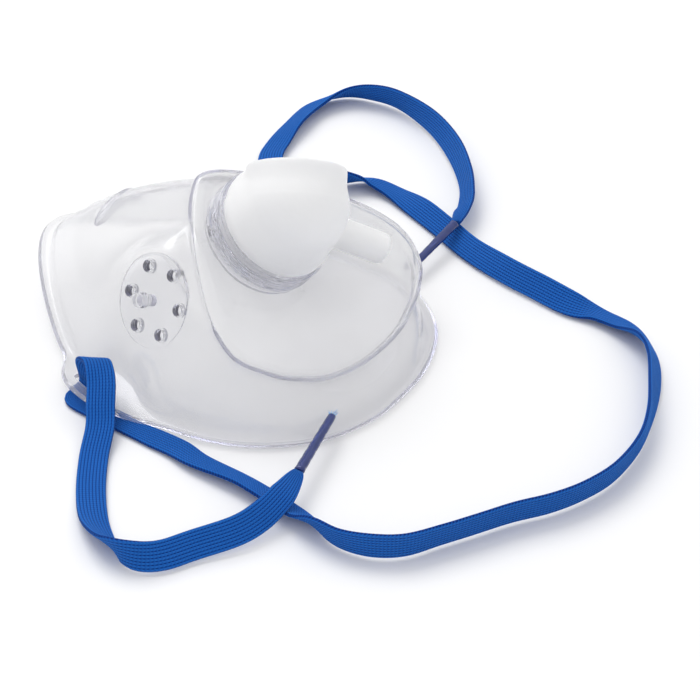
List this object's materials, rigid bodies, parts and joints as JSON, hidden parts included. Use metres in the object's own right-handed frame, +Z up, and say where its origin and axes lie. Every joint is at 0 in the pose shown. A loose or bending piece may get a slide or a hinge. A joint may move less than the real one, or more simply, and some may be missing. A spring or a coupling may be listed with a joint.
{
  "type": "oxygen face mask",
  "caption": "Clear child's oxygen face mask with vent discs, a ribbed collar, a swivelling elbow with a side nozzle, and a flat elastic head strap.",
  "frame": {"origin": "under the middle of the mask's outline, on the table it lies on, the strap left out", "axes": "+X from the nose end to the chin end, +Z up, away from the face; the mask's mirror plane is y = 0"},
  "size_m": [0.1707, 0.2115, 0.0587],
  "materials": {
    "clear_vinyl": "clear, glossy",
    "frosted_polythene": "frosted, translucent",
    "blue_braid": "ribbed braided elastic",
    "violet_film": "smooth shrunk film"
  },
  "bodies": {
    "mask": {"mask_shell": "clear_vinyl", "head_strap": "blue_braid", "strap_tip_near": "violet_film", "strap_tip_far": "violet_film"},
    "elbow": {"swivel_elbow": "frosted_polythene"}
  },
  "joints": [
    {"name": "swivel", "type": "hinge", "parent": "mask", "child": "elbow", "pos_m": [0.01143, 0, 0.03103], "axis": [0.6428, 0, 0.766], "continuous": true}
  ]
}
